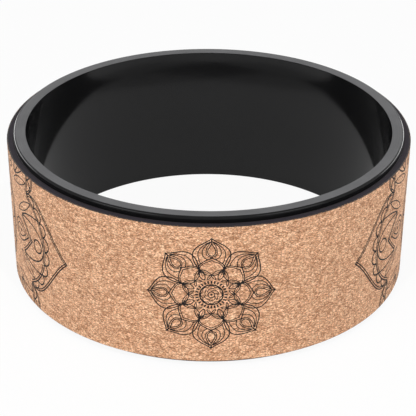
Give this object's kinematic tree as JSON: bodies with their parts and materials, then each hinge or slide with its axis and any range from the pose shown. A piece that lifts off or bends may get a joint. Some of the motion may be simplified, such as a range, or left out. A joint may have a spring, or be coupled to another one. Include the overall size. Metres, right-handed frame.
{
  "type": "yoga wheel",
  "caption": "Wide rigid plastic hoop for yoga back-bends, with a foam pad and a cork cover wrapped round its tread between two bare lips.",
  "frame": {"origin": "centre of the lower end, on the surface that the wheel lies on", "axes": "+Z along the wheel's axis, from the lower open end to the upper one; -Y through the middle of the front ornament"},
  "size_m": [0.33, 0.33, 0.127],
  "materials": {
    "core_plastic": "black ABS, glossy walls, both ends turned to a satin grey",
    "bond_adhesive": "transfer adhesive film",
    "pad_foam": "matte closed cell foam, charcoal",
    "cork_sheet": "agglomerated cork sheet, matte, printed with dark line ornaments"
  },
  "bodies": {
    "root": {"core_ring": "core_plastic", "inner_bond_film": "bond_adhesive", "foam_pad": "pad_foam", "outer_bond_film": "bond_adhesive", "cork_cover": "cork_sheet"}
  },
  "joints": []
}
